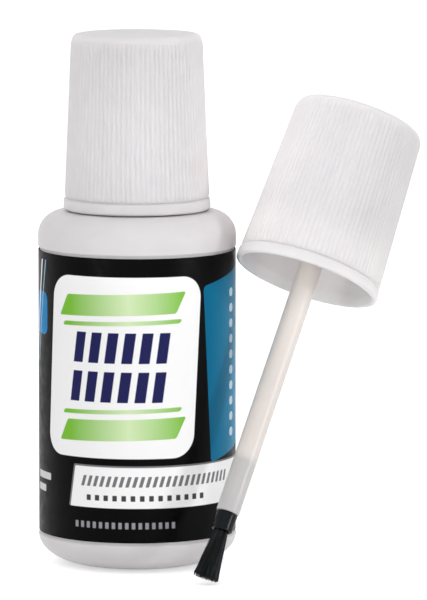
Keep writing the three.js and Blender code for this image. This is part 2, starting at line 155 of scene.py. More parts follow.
# Closure, liner, stem, collar and staple
CLOSURE_WALL = 0.7
CLOSURE_CROWN_THICKNESS = 1.2
CLOSURE_SKIRT_RECESS = 6.1
BOSS_WALL = 1.45
STEM_SOCKET_DEPTH = 4.9
LINER_THICKNESS = 1
STEM_RADIUS = 1.65
STEM_FLANGE_THICKNESS = 0.8
STEM_BORE_RADIUS = 1.3
STEM_BORE_DEPTH = 8
STEM_CLEAR_LENGTH = 1.5
COLLAR_RADIUS = 1.5
COLLAR_WALL = 0.3
COLLAR_LENGTH = 2.4
COLLAR_BORE_DEPTH = 2
COLLAR_SEAM = 0.05
SPIGOT_LENGTH = 3
SPIGOT_END_WALL = 0.3
STAPLE_BORE_RADIUS = 0.75
STAPLE_THICKNESS = 0.25
STAPLE_HEIGHT = 1.6

# Tuft
TUFT_FREE_LENGTH = 7.1
TUFT_BACKING_THICKNESS = 0.5
TUFT_BACKING_MARGIN = 0.08
TUFT_TIP_HALF_WIDTH = 1.87
TUFT_TIP_HALF_DEPTH = 1.35
TUFT_UNEVENNESS = 0.45
STRAND_COUNT = 520
STRAND_RADIUS = 0.05
STRAND_TAPER = 0.35
STRAND_ROOT_DEPTH = 0.1
STRAND_STRAY = 0.06
STRAND_BOW = 0.07
STRAND_INWARD_BOW = 0.1

# Levels on the applicator, from the cap's lower edge
LINER_BOTTOM = NECK_TOP + WIPER_FLANGE_THICKNESS - CAP_BASE
LINER_TOP = LINER_BOTTOM + LINER_THICKNESS
STEM_FLANGE_BOTTOM = LINER_TOP + SEAT_GAP
STEM_FLANGE_TOP = STEM_FLANGE_BOTTOM + STEM_FLANGE_THICKNESS
CROWN_BOTTOM = STEM_FLANGE_TOP + SEAT_GAP
CROWN_TOP = CROWN_BOTTOM + CLOSURE_CROWN_THICKNESS
BOSS_TOP = CAP_INNER_TOP - SEAT_GAP
SOCKET_TOP = CROWN_BOTTOM + STEM_SOCKET_DEPTH
STEM_TOP = SOCKET_TOP - SEAT_GAP
BRUSH_TIP = BASE_THICKNESS + BRUSH_TO_FLOOR - CAP_BASE
COLLAR_BOTTOM = BRUSH_TIP + TUFT_FREE_LENGTH
COLLAR_TOP = COLLAR_BOTTOM + COLLAR_LENGTH
COLLAR_BORE_TOP = COLLAR_BOTTOM + COLLAR_BORE_DEPTH
STEM_END = COLLAR_TOP + SEAT_GAP
STEM_BORE_TOP = STEM_END + STEM_BORE_DEPTH
SPIGOT_TOP = COLLAR_TOP + SPIGOT_LENGTH
STAPLE_BORE_TOP = SPIGOT_TOP - SPIGOT_END_WALL
TUFT_BACKING_TOP = COLLAR_BORE_TOP - SEAT_GAP
TUFT_BACKING_BOTTOM = TUFT_BACKING_TOP - TUFT_BACKING_THICKNESS
STAPLE_BOTTOM = TUFT_BACKING_TOP + SEAT_GAP

# Radii on the applicator
CLOSURE_INNER_RADIUS = THREAD_CREST_RADIUS + THREAD_GAP
CLOSURE_RADIUS = CLOSURE_INNER_RADIUS + CLOSURE_WALL
CLOSURE_THREAD_CREST = CLOSURE_INNER_RADIUS - THREAD_HEIGHT
CAP_SKIRT_RADIUS = CLOSURE_RADIUS + CAP_SKIRT_MARGIN
STEM_FLANGE_RADIUS = CLOSURE_THREAD_CREST - SEAT_GAP
STEM_SOCKET_RADIUS = STEM_RADIUS + SEAT_GAP
BOSS_RADIUS = STEM_SOCKET_RADIUS + BOSS_WALL
COLLAR_BORE_RADIUS = COLLAR_RADIUS - COLLAR_WALL
SPIGOT_RADIUS = STEM_BORE_RADIUS - SEAT_GAP
TUFT_BACKING_RADIUS = COLLAR_BORE_RADIUS - SEAT_GAP
TUFT_ROOT_RADIUS = TUFT_BACKING_RADIUS - TUFT_BACKING_MARGIN

# Stance of the loose applicator
LOOSE_X = BODY_RADIUS + CAP_SKIRT_RADIUS - LOOSE_TUCK_IN
LOOSE_Y = -5
LOOSE_LEAN_SIDE = math.radians(19.5)
LOOSE_LEAN_BACK = math.radians(20)

# Camera
CAMERA_TARGET = Vector((10.8, 0, 37.3))
CAMERA_DISTANCE = 850
CAMERA_ELEVATION = math.radians(7)
FRAMED_HEIGHT = 84.87
SENSOR = 36

# Roundings of edges, from the finest to the widest
ROUND_FILM = 0.05
ROUND_WIRE = 0.06
ROUND_FINE = 0.1
ROUND_CRISP = 0.15
ROUND_SOFT = 0.2
ROUND_FULL = 0.25
ROUND_WIDE = 0.3
ROUND_BEAD = 0.4
ROUND_LIP = 0.5

# Fineness of the meshes
BOTTLE_SEGMENTS = 192
CAP_POINTS_PER_RIB = 10
CLOSURE_SEGMENTS = 120
STEM_SEGMENTS = 64
THREAD_STEPS_PER_TURN = 120
ARC_STEPS = 8
BASE_CORNER_STEPS = 24
BALL_STEPS = 32
STRAND_STEPS = 7
STRAND_SIDES = 5
SAME_POINT = 1e-6
ON_AXIS = 1e-9
SHARP_ANGLE = math.radians(40)


# Shapes are pairs of vertices and faces, in millimetres
def rounded(corners):
    """The points of a closed outline, from corners of radius, height and rounding."""
    points = []
    for i, (x, y, size) in enumerate(corners):
        here = np.array((x, y), float)
        if size == 0:
            points.append(here)
            continue
        before = np.array(corners[i - 1][:2]) - here
        after = np.array(corners[(i + 1) % len(corners)][:2]) - here
        before = before / np.linalg.norm(before)
        after = after / np.linalg.norm(after)
        half = math.acos(np.clip(before @ after, -1, 1)) / 2
        middle = (before + after) / np.linalg.norm(before + after)
        centre = here + middle * size / math.sin(half)
        start = here + before * size / math.tan(half) - centre
        end = here + after * size / math.tan(half) - centre
        sweep = math.pi - 2 * half
        for step in range(ARC_STEPS + 1):
            t = step / ARC_STEPS
            turn = (start * math.sin((1 - t) * sweep) + end * math.sin(t * sweep)) / math.sin(sweep)
            points.append(centre + turn)
    kept = [points[0]]
    for point in points[1:]:
        if np.linalg.norm(point - kept[-1]) > SAME_POINT:
            kept.append(point)
    return np.array(kept)


def base_corner(radius, height, width, rise):
    """Outline corners on the lower right quarter of an ellipse, from its foot up to its side."""
    turns = [math.pi / 2 * step / BASE_CORNER_STEPS for step in range(BASE_CORNER_STEPS + 1)]
    return [(radius + width * math.sin(turn), height - rise * math.cos(turn), 0) for turn in turns]


def turned(outline, segments, bulge=None):
    """A closed outline turned round the z axis.

    bulge(angles, radius, height) says how far the points of a ring move outwards.
    """
    angles = np.arange(segments) * 2 * math.pi / segments
    vertices = []
    rings = []
    for radius, height in outline:
        if radius < ON_AXIS:
            rings.append([len(vertices)] * segments)
            vertices.append((0, 0, height))
            continue
        reach = radius + (bulge(angles, radius, height) if bulge else np.zeros(segments))
        rings.append(list(range(len(vertices), len(vertices) + segments)))
        vertices.extend(zip(reach * np.cos(angles), reach * np.sin(angles), [height] * segments))
    faces = []
    for lower, upper in zip(rings, rings[1:] + rings[:1]):
        for j in range(segments):
            k = (j + 1) % segments
            corners = (lower[j], lower[k], upper[k], upper[j])
            face = [c for n, c in enumerate(corners) if c != corners[n - 1]]
            if len(face) > 2:
                faces.append(face)
    return vertices, faces


def swept(sections):
    """A closed solid through sections of the same number of points."""
    count = len(sections[0])
    vertices = [point for section in sections for point in section]
    faces = []
    for i in range(len(sections) - 1):
        for j in range(count):
            k = (j + 1) % count
            faces.append((i * count + j, i * count + k, (i + 1) * count + k, (i + 1) * count + j))
    faces.append(tuple(reversed(range(count))))
    faces.append(tuple(range(len(vertices) - count, len(vertices))))
    return vertices, faces


def thread(wall_radius, crest_radius, start_height):
    """A helical ridge with a rounded crest, sunk into the wall at its root and at both ends."""
    root = wall_radius + math.copysign(THREAD_ROOT_DEPTH, wall_radius - crest_radius)
    steps = round(THREAD_TURNS * THREAD_STEPS_PER_TURN)
    run_out = THREAD_RUN_OUT * THREAD_STEPS_PER_TURN
    sections = []
    for i in range(steps + 1):
        angle = 2 * math.pi * THREAD_TURNS * i / steps
        height = start_height + THREAD_RISE * i / steps
        fullness = min(1, (i + 1) / (run_out + 1), (steps - i + 1) / (run_out + 1))
        crest = root + (crest_radius - root) * fullness
        shoulder = root + (crest_radius - root) * fullness * THREAD_SHOULDER_SHARE
        profile = [
            (root, -THREAD_ROOT_WIDTH / 2),
            (shoulder, -THREAD_CREST_WIDTH / 2 - THREAD_SHOULDER_SPREAD),
            (crest, -THREAD_CREST_WIDTH / 4),
            (crest, THREAD_CREST_WIDTH / 4),
            (shoulder, THREAD_CREST_WIDTH / 2 + THREAD_SHOULDER_SPREAD),
            (root, THREAD_ROOT_WIDTH / 2),
        ]
        sections.append([(r * math.cos(angle), r * math.sin(angle), height + z) for r, z in profile])
    return swept(sections)


def slab(width, depth, bottom, top, rounding):
    """An upright plate with rounded edges."""
    levels = []
    for step in range(ARC_STEPS + 1):
        angle = math.pi / 2 * step / ARC_STEPS
        levels.append((bottom + rounding * (1 - math.sin(angle)), rounding * (1 - math.cos(angle))))
    levels = levels[::-1] + [(bottom + top - z, inset) for z, inset in levels]
    sections = []
    for z, inset in levels:
        x, y = width / 2 - inset, depth / 2 - inset
        bevel = min(rounding, y / 2)
        sections.append([
            (x - bevel, -y, z), (x, -y + bevel, z), (x, y - bevel, z), (x - bevel, y, z),
            (bevel - x, y, z), (-x, y - bevel, z), (-x, -y + bevel, z), (bevel - x, -y, z),
        ])
    return swept(sections)


def add_shape(target, shape):
    """Adds a closed shape to a bmesh, with its faces outwards."""
    part = bmesh.new()
    vertices, faces = shape
    corners = [part.verts.new(Vector(v) * MM) for v in vertices]
    for face in faces:
        part.faces.new([corners[i] for i in face])
    if part.calc_volume(signed=True) < 0:
        bmesh.ops.reverse_faces(part, faces=part.faces)
    mesh = bpy.data.meshes.new("part")
    part.to_mesh(mesh)
    part.free()
    target.from_mesh(mesh)
    bpy.data.meshes.remove(mesh)


def make_mesh(name, *shapes):
    joined = bmesh.new()
    for shape in shapes:
        add_shape(joined, shape)
    mesh = bpy.data.meshes.new(name)
    joined.to_mesh(mesh)
    joined.free()
    mesh.shade_smooth()
    mesh.set_sharp_from_angle(angle=SHARP_ANGLE)
    return mesh


def add_object(name, data):
    """Adds a mesh, lamp or camera to the scene."""
    item = bpy.data.objects.new(name, data)
    bpy.context.scene.collection.objects.link(item)
    return item


# Materials
MILKY = (1, 0.95, 0.9)


def srgb(*channels):
    """A linear colour from sRGB values of 0 to 255."""
    values = np.array(channels) / 255
    linear = np.where(values <= 0.04045, values / 12.92, ((values + 0.055) / 1.055) ** 2.4)
    return (*linear.tolist(), 1)


class Nodes:
    """A node tree, with short calls for the nodes that it is made of."""

    def __init__(self, tree):
        self.tree = tree

    def node(self, kind, inputs=(), **settings):
        node = self.tree.nodes.new(kind)
        for setting, value in settings.items():
            setattr(node, setting, value)
        for socket, value in dict(inputs).items():
            self.plug(node.inputs[socket], value)
        return node

    def plug(self, socket, value):
        if isinstance(value, bpy.types.NodeSocket):
            self.tree.links.new(value, socket)
        else:
            socket.default_value = value

    def math(self, operation, a, b=0.0, c=0.0, clamp=False):
        node = self.node("ShaderNodeMath", {0: a, 1: b, 2: c}, operation=operation, use_clamp=clamp)
        return node.outputs[0]

    def axes(self, vector):
        return self.node("ShaderNodeSeparateXYZ", {0: vector}).outputs

    def vector(self, x, y=0, z=0):
        return self.node("ShaderNodeCombineXYZ", {0: x, 1: y, 2: z}).outputs[0]

    def vector_math(self, operation, a, b=(0, 0, 0)):
        node = self.node("ShaderNodeVectorMath", {0: a, 1: b}, operation=operation)
        return node.outputs["Value" if operation == "LENGTH" else "Vector"]


class Surface(Nodes):
    """A material with one Principled shader, whose even values are given as settings.

    Its places are the piece's own. With a placement they are those before the mesh was moved by it.
    """

    def __init__(self, name, placement=None, **settings):
        self.placement = placement
        self.material = bpy.data.materials.new(name)
        self.material.use_nodes = True
        super().__init__(self.material.node_tree)
        self.shader = self.tree.nodes["Principled BSDF"]
        for socket, value in settings.items():
            self.shader.inputs[socket.replace("_", " ")].default_value = value

    def set(self, socket, value):
        self.plug(self.shader.inputs[socket], value)

    def position(self):
        position = self.node("ShaderNodeTexCoord").outputs["Object"]
        if self.placement is None:
            return position
        place, turn, _ = self.placement.decompose()
        inputs = {"Vector": position, "Location": place, "Rotation": turn.to_euler()}
        return self.node("ShaderNodeMapping", inputs, vector_type="TEXTURE").outputs[0]

    def noise(self, vector, scale, detail=2.0, stretch=(1, 1, 1)):
        scaled = self.vector_math("MULTIPLY", vector, stretch)
        node = self.node("ShaderNodeTexNoise", {"Vector": scaled, "Scale": scale, "Detail": detail})
        return node.outputs[0]

    def spread(self, value, low, high, start=0.0, end=1.0):
        """A value between start and end, mapped to between low and high."""
        inputs = {"Value": value, "From Min": start, "From Max": end, "To Min": low, "To Max": high}
        return self.node("ShaderNodeMapRange", inputs).outputs[0]

    def mix(self, share, below, above):
        """A colour between below at share 0 and above at share 1, through the node's colour sockets."""
        node = self.node("ShaderNodeMix", {0: share, 6: below, 7: above}, data_type="RGBA")
        return node.outputs[2]

    def bump(self, height, strength, distance):
        inputs = {"Height": height, "Strength": strength, "Distance": distance * MM}
        self.set("Normal", self.node("ShaderNodeBump", inputs).outputs[0])


def moulded_plastic(name, light, dark, roughness, grain=0.05, **settings):
    """Moulded plastic: a faint mottle in its colour, uneven gloss and a fine grain."""
    surface = Surface(name, **settings)
    position = surface.position()
    mottle = surface.noise(position, scale=160, detail=3.0)
    surface.set("Base Color", surface.mix(surface.spread(mottle, 0, 1, start=0.35, end=0.65), dark, light))
    gloss = surface.noise(position, scale=420, detail=2.0)
    unevenness = 0.06
    low, high = roughness - unevenness, roughness + unevenness
    surface.set("Roughness", surface.spread(gloss, low, high, start=0.3, end=0.7))
    surface.bump(surface.noise(position, scale=2600, detail=3.0), strength=0.25, distance=grain)
    return surface.material


def bottle_material():
    return moulded_plastic(
        "bottle_polyethylene",
        light=srgb(219, 216, 217),
        dark=srgb(215, 212, 213),
        roughness=0.4,
        Subsurface_Weight=0.3,
        Subsurface_Radius=MILKY,
        Subsurface_Scale=1.5 * MM,
        Specular_IOR_Level=0.3,
    )


def cap_material():
    return moulded_plastic(
        "cap_polypropylene",
        light=srgb(238, 231, 231),
        dark=srgb(234, 226, 227),
        roughness=0.42,
        grain=0.008,
        Subsurface_Weight=0.9,
        Subsurface_Radius=MILKY,
        Subsurface_Scale=3.5 * MM,
        Specular_IOR_Level=0.3,
    )


def closure_material():
    return moulded_plastic(
        "closure_polypropylene",
        light=srgb(248, 246, 243),
        dark=srgb(243, 240, 237),
        roughness=0.45,
        Subsurface_Weight=0.6,
        Subsurface_Radius=MILKY,
        Subsurface_Scale=1.2 * MM,
        Specular_IOR_Level=0.3,
    )


def wiper_material():
    light, dark = srgb(238, 235, 230), srgb(230, 226, 220)
    return moulded_plastic("wiper_polyethylene", light, dark, roughness=0.4)


def liner_material():
    surface = Surface("liner_foam", Specular_IOR_Level=0.2, Roughness=0.85)
    cells = surface.node("ShaderNodeTexVoronoi", {"Vector": surface.position(), "Scale": 5200.0}).outputs[0]
    surface.set("Base Color", surface.mix(cells, srgb(214, 210, 204), srgb(238, 235, 230)))
    surface.bump(cells, strength=0.5, distance=0.06)
    return surface.material


def fluid_material():
    surface = Surface("fluid_pigment", Coat_Weight=0.3)
    swirl = surface.noise(surface.position(), scale=90, detail=4.0, stretch=(1, 1, 3))
    surface.set("Base Color", surface.mix(swirl, srgb(240, 240, 236), srgb(252, 252, 250)))
    surface.set("Roughness", surface.spread(swirl, 0.18, 0.3))
    surface.bump(swirl, strength=0.2, distance=0.2)
    return surface.material


def steel_material(name, low_roughness, high_roughness):
    surface = Surface(name, Metallic=1.0)
    scratches = surface.noise(surface.position(), scale=900, detail=4.0, stretch=(1, 1, 9))
    surface.set("Base Color", surface.mix(scratches, srgb(176, 178, 182), srgb(206, 208, 210)))
    surface.set("Roughness", surface.spread(scratches, low_roughness, high_roughness))
    surface.bump(scratches, strength=0.15, distance=0.02)
    return surface.material


def stem_material(name, placement):
    """Translucent natural plastic, milky above and clearer over the hollow end."""
    surface = Surface(
        name,
        placement,
        IOR=1.49,
        Subsurface_Radius=MILKY,
        Subsurface_Scale=2 * MM,
        Specular_IOR_Level=0.35,
    )
    position = surface.position()
    height = surface.axes(position)[2]
    clear_below = STEM_END + STEM_CLEAR_LENGTH
    clear = surface.spread(height, 0, 1, start=STEM_BORE_TOP * MM, end=clear_below * MM)
    streaks = surface.noise(position, scale=260, detail=3.0, stretch=(1, 1, 0.12))
    milky = surface.mix(streaks, srgb(229, 221, 216), srgb(239, 233, 228))
    greyer = surface.mix(streaks, srgb(236, 230, 230), srgb(244, 240, 240))
    surface.set("Base Color", surface.mix(clear, milky, greyer))
    surface.set("Transmission Weight", surface.spread(clear, 0.1, 0.3))
    surface.set("Subsurface Weight", surface.spread(clear, 0.85, 0.6))
    surface.set("Roughness", surface.spread(streaks, 0.24, 0.38))
    surface.bump(streaks, strength=0.2, distance=0.05)
    return surface.material


def collar_material():
    surface = Surface("collar_nylon", Specular_IOR_Level=0.15)
    smear = surface.noise(surface.position(), scale=700, detail=3.0)
    surface.set("Base Color", surface.mix(smear, srgb(3, 5, 8), srgb(13, 16, 22)))
    surface.set("Roughness", surface.spread(smear, 0.16, 0.36))
    surface.bump(smear, strength=0.3, distance=0.06)
    return surface.material


def bristle_material(name, placement):
    surface = Surface(name, placement, Specular_IOR_Level=0.25)
    # The lighter blue-grey streaks in the bristles' colour are painted highlights along the strands, laid
    # at random by stretched noise.
    streaks = surface.noise(surface.position(), scale=2200, detail=3.0, stretch=(1, 1, 0.06))
    streaks = surface.spread(streaks, 0, 1, start=0.45, end=0.8)
    surface.set("Base Color", surface.mix(streaks, srgb(1, 2, 4), srgb(40, 50, 56)))
    surface.set("Roughness", surface.spread(streaks, 0.3, 0.55))
    return surface.material


class Print:
    """Flat inks on the label film.

    Places are in millimetres: across from the middle of the front, and up from the film's lower edge.
    """

    SOFTNESS = 0.1
    CLEAR_OF_MARKS = 1

    def __init__(self, surface, ground):
        self.surface = surface
        x, y, z = surface.axes(surface.position())
        angle = surface.math("ARCTAN2", x, surface.math("MULTIPLY", y, -1.0))
        self.across = surface.math("MULTIPLY", angle, float(FILM_OUTER))
        self.up = surface.math("MULTIPLY_ADD", z, 1 / MM, float(-LABEL_BOTTOM))
        self.colour = ground

    def slanted(self, slant, level):
        """The place across, leaned by slant about a level."""
        lean = self.surface.math("MULTIPLY_ADD", self.up, -slant, slant * level)
        return self.surface.math("ADD", self.across, lean)

    def box(self, left, right, bottom, top, rounding=0.15, slant=0.0, rise=0.0):
        """A rounded box, leaned by slant and climbing by rise, as a mask of 0 to 1."""
        middle, level = (left + right) / 2, (bottom + top) / 2
        across = self.slanted(slant, level)
        climb = self.surface.math("MULTIPLY_ADD", self.across, -rise, rise * middle)
        up = self.surface.math("ADD", self.up, climb)
        return self.box_at(across, up, left, right, bottom, top, rounding)

    def box_at(self, across, up, left, right, bottom, top, rounding):
        """A rounded box in given coordinates, as a mask of 0 to 1."""
        surface = self.surface
        half = ((right - left) / 2 - rounding, (top - bottom) / 2 - rounding, 0)
        place = surface.vector(across, up)
        place = surface.vector_math("SUBTRACT", place, ((left + right) / 2, (bottom + top) / 2, 0))
        beyond = surface.vector_math("SUBTRACT", surface.vector_math("ABSOLUTE", place), half)
        beyond = surface.vector_math("MAXIMUM", beyond)
        distance = surface.vector_math("LENGTH", beyond)
        inside = surface.math("SUBTRACT", rounding, distance)
        return surface.math("MULTIPLY_ADD", inside, 1 / self.SOFTNESS, 0.5, clamp=True)

    def row(self, left, right, bottom, top, pitch, width, slant=0.0, rounding=0.1):
        """A row of equal marks, a pitch apart, as a mask of 0 to 1."""
        surface = self.surface
        across = self.slanted(slant, (bottom + top) / 2)
        cell = surface.math("WRAP", surface.math("SUBTRACT", across, left), pitch, 0.0)
        mark = self.box_at(cell, self.up, (pitch - width) / 2, (pitch + width) / 2, bottom, top, rounding)
        low, high = bottom - self.CLEAR_OF_MARKS, top + self.CLEAR_OF_MARKS
        return surface.math("MULTIPLY", mark, self.box(left, right, low, high, slant=slant))

    def column(self, left, right, bottom, top, pitch, height, rounding=0.1):
        """A column of equal marks, a pitch apart, as a mask of 0 to 1."""
        surface = self.surface
        cell = surface.math("WRAP", surface.math("SUBTRACT", self.up, bottom), pitch, 0.0)
        low, high = (pitch - height) / 2, (pitch + height) / 2
        mark = self.box_at(self.across, cell, left, right, low, high, rounding)
        first, last = left - self.CLEAR_OF_MARKS, right + self.CLEAR_OF_MARKS
        return surface.math("MULTIPLY", mark, self.box(first, last, bottom, top))

    def ink(self, mask, colour):
        self.colour = self.surface.mix(mask, self.colour, colour)

    def fade(self, start, end, first, last):
        """A colour that goes from first at start to last at end, across the label."""
        return self.surface.mix(self.surface.spread(self.across, 0, 1, start, end), first, last)


def label_material():
    """Printed film of a generic design: a white panel, green bars, navy marks, and blue at both sides."""
    black = srgb(2, 2, 3)
    white = srgb(250, 250, 250)
    grey = srgb(120, 120, 124)
    dark_grey = srgb(70, 70, 74)
    light_grey = srgb(150, 150, 154)
    silver = srgb(214, 214, 216)
    frame_grey = srgb(60, 60, 64)
    panel_black = srgb(8, 8, 10)
    green = srgb(126, 192, 62)
    light_green = srgb(214, 236, 188)
    navy = srgb(36, 37, 88)
    sea_blue = srgb(8, 104, 142)
    light_sea_blue = srgb(46, 132, 168)
    sky_blue = srgb(0, 128, 190)
    dull_blue = srgb(150, 190, 214)
    pale_blue = srgb(186, 212, 226)
    surface = Surface("label_film", Specular_IOR_Level=0.05)
    design = Print(surface, black)

    # Front panel with green bars and two rows of navy marks
    design.ink(design.box(-14.2, 9.2, 11.9, 37.4, rounding=3.2, slant=0.06), white)
    left_greens = design.fade(-10, -1, green, light_green)
    greens = design.fade(-1, 7, left_greens, green)
    for bottom, top in ((32.0, 35.0), (30.6, 31.2), (14.4, 17.4), (18.2, 18.8)):
        design.ink(design.box(-11.2, 6.4, bottom, top, rounding=0.3, slant=0.5, rise=0.03), greens)
    for left, right, bottom, top in ((-9.6, 5.1, 25.3, 29.6), (-10.2, 4.5, 19.8, 24.1)):
        design.ink(design.row(left, right, bottom, top, pitch=2.45, width=1.55, slant=0.14), navy)

    # Lower band with a grey edge, its marks, and the footer under it
    design.ink(design.box(-9.9, 24.4, 4.9, 10.9, rounding=0.2, slant=0.16), grey)
    design.ink(design.box(-9.65, 24.15, 4.9, 10.65, rounding=0.15, slant=0.16), white)
    design.ink(design.row(-8.2, 15.55, 7.9, 9.4, pitch=0.95, width=0.5, slant=0.3), grey)
    design.ink(design.row(-7.6, 10.6, 5.9, 6.7, pitch=1.3, width=0.66), dark_grey)
    design.ink(design.row(-9.4, 5.8, 2.0, 2.9, pitch=0.95, width=0.5), light_grey)

    # Blue stripe at the right, and blue square and white marks at the left
    blues = design.fade(11, 22, sea_blue, light_sea_blue)
    design.ink(design.box(11.0, 24.0, 11.9, 37.2, rounding=0.6, slant=-0.06, rise=0.2), blues)
    design.ink(design.column(16.8, 18.2, 13.4, 35.4, pitch=2.2, height=1.2, rounding=0.5), pale_blue)
    design.ink(design.box(-20.2, -15.6, 28.4, 34.4, rounding=1.2), sky_blue)
    design.ink(design.box(-19.4, -18.9, 24.4, 39.0, rounding=0.2, slant=0.22), white)
    design.ink(design.box(-17.9, -17.6, 24.4, 39.0, rounding=0.12, slant=0.22), dull_blue)
    design.ink(design.box(-19.4, -14.6, 7.9, 8.9, rounding=0.2), silver)
    design.ink(design.box(-19.4, -16.2, 6.1, 7.1, rounding=0.2), silver)

    # Two framed panels with lines on the back, and a row of green marks
    width, bottom, top, frame_width, line_inset = 15.0, 6.0, 36.6, 0.25, 1.2
    for left, lines_top in ((27.0, 29.4), (-42.0, 34.4)):
        right = left + width
        design.ink(design.box(left, right, bottom, top, rounding=0.8), frame_grey)
        inner = (left + frame_width, right - frame_width, bottom + frame_width, top - frame_width)
        design.ink(design.box(*inner, rounding=0.6), panel_black)
        lines = (left + line_inset, right - line_inset, 9.4, lines_top)
        design.ink(design.column(*lines, pitch=2.5, height=0.42), grey)
    design.ink(design.row(28.3, 40.7, 31.2, 34.4, pitch=3.1, width=2.3, rounding=0.4), green)

    worn = surface.noise(surface.position(), scale=700, detail=3.0)
    surface.set("Base Color", design.colour)
    surface.set("Roughness", surface.spread(worn, 0.3, 0.46, start=0.3, end=0.7))
    surface.bump(surface.noise(surface.position(), scale=150, detail=2.0), strength=0.12, distance=0.12)
    return surface.material


# Pieces, each with its own zero where its node has it: the bottle's base, or the cap's lower edge
def bottle_shapes():
    ring_outer = BODY_RADIUS - BASE_CORNER_WIDTH
    ring_inner = ring_outer - BASE_RING_WIDTH
    panel_radius = BODY_RADIUS - PANEL_DEPTH
    inner_corner = base_corner(ring_outer, BASE_CORNER_HEIGHT, INNER_CORNER_WIDTH, INNER_CORNER_HEIGHT)
    outline = rounded([
        (0, 0, 0),
        (GATE_PAD_RADIUS, 0, ROUND_CRISP),
        (GATE_PAD_RADIUS + BASE_HOLLOW_DRAFT, BASE_HOLLOW_DEPTH, ROUND_CRISP),
        (ring_inner - BASE_HOLLOW_DRAFT, BASE_HOLLOW_DEPTH, ROUND_CRISP),
        (ring_inner, 0, ROUND_SOFT),
        *base_corner(ring_outer, BASE_CORNER_HEIGHT, BASE_CORNER_WIDTH, BASE_CORNER_HEIGHT),
        (panel_radius, PANEL_BOTTOM, ROUND_CRISP),
        (panel_radius, PANEL_TOP, ROUND_CRISP),
        (BODY_RADIUS, PANEL_TOP + PANEL_DEPTH, ROUND_CRISP),
        (BODY_RADIUS, SHOULDER_HEIGHT, SHOULDER_CORNER_RADIUS),
        (NECK_RADIUS, NECK_BASE, ROUND_BEAD),
        (NECK_RADIUS, NECK_TOP, NECK_CHAMFER),
        (NECK_BORE, NECK_TOP, ROUND_CRISP),
        (NECK_BORE, NECK_BASE - BODY_WALL, ROUND_WIDE),
        (INNER_RADIUS, SHOULDER_HEIGHT - BODY_WALL, SHOULDER_CORNER_RADIUS - BODY_WALL),
        *reversed(inner_corner),
        (0, BASE_THICKNESS, 0),
    ])
    return [turned(outline, BOTTLE_SEGMENTS), thread(NECK_RADIUS, THREAD_CREST_RADIUS, THREAD_START)]


def label_shapes():
    """The film round the panel, open at its seam on the back."""
    outline = rounded([
        (FILM_INNER, LABEL_BOTTOM, 0),
        (FILM_OUTER, LABEL_BOTTOM, ROUND_FILM),
        (FILM_OUTER, LABEL_TOP, ROUND_FILM),
        (FILM_INNER, LABEL_TOP, 0),
    ])
    seam = math.asin(LABEL_SEAM_WIDTH / 2 / FILM_INNER)
    start = math.pi / 2 + seam
    sweep = 2 * (math.pi - seam)
    sections = []
    for i in range(BOTTLE_SEGMENTS + 1):
        angle = start + sweep * i / BOTTLE_SEGMENTS
        sections.append([(r * math.cos(angle), r * math.sin(angle), z) for r, z in outline])
    return [swept(sections)]


def wiper_shapes():
    orifice = TUFT_TIP_HALF_WIDTH + WIPER_BRUSH_GAP
    flange_top = NECK_TOP + WIPER_FLANGE_THICKNESS
    plug = NECK_BORE - WIPER_PLUG_GAP
    plug_bottom = NECK_TOP - WIPER_PLUG_DEPTH
    cup = plug - WIPER_PLUG_WALL
    outline = rounded([
        (orifice, plug_bottom, ROUND_SOFT),
        (plug, plug_bottom, ROUND_WIDE),
        (plug, NECK_TOP, 0),
        (NECK_RADIUS - WIPER_FLANGE_INSET, NECK_TOP, ROUND_FINE),
        (NECK_RADIUS - WIPER_FLANGE_INSET, flange_top, ROUND_FULL),
        (cup, flange_top, ROUND_SOFT),
        (cup, plug_bottom + WIPER_FLOOR_THICKNESS, ROUND_WIDE),
        (orifice, plug_bottom + WIPER_FLOOR_THICKNESS, ROUND_SOFT),
    ])
    return [turned(outline, CLOSURE_SEGMENTS)]


def ball_centre(degrees):
    angle = math.radians(degrees)
    height = BASE_THICKNESS + BALL_GAP + BALL_RADIUS
    return Vector((BALL_ORBIT * math.cos(angle), BALL_ORBIT * math.sin(angle), height))


def ball_shapes():
    turns = [math.pi * (i / BALL_STEPS - 0.5) for i in range(BALL_STEPS + 1)]
    outline = [(max(0, BALL_RADIUS * math.cos(t)), BALL_RADIUS * math.sin(t)) for t in turns]
    outline[0], outline[-1] = (0, -BALL_RADIUS), (0, BALL_RADIUS)
    return [turned(outline, STEM_SEGMENTS)]


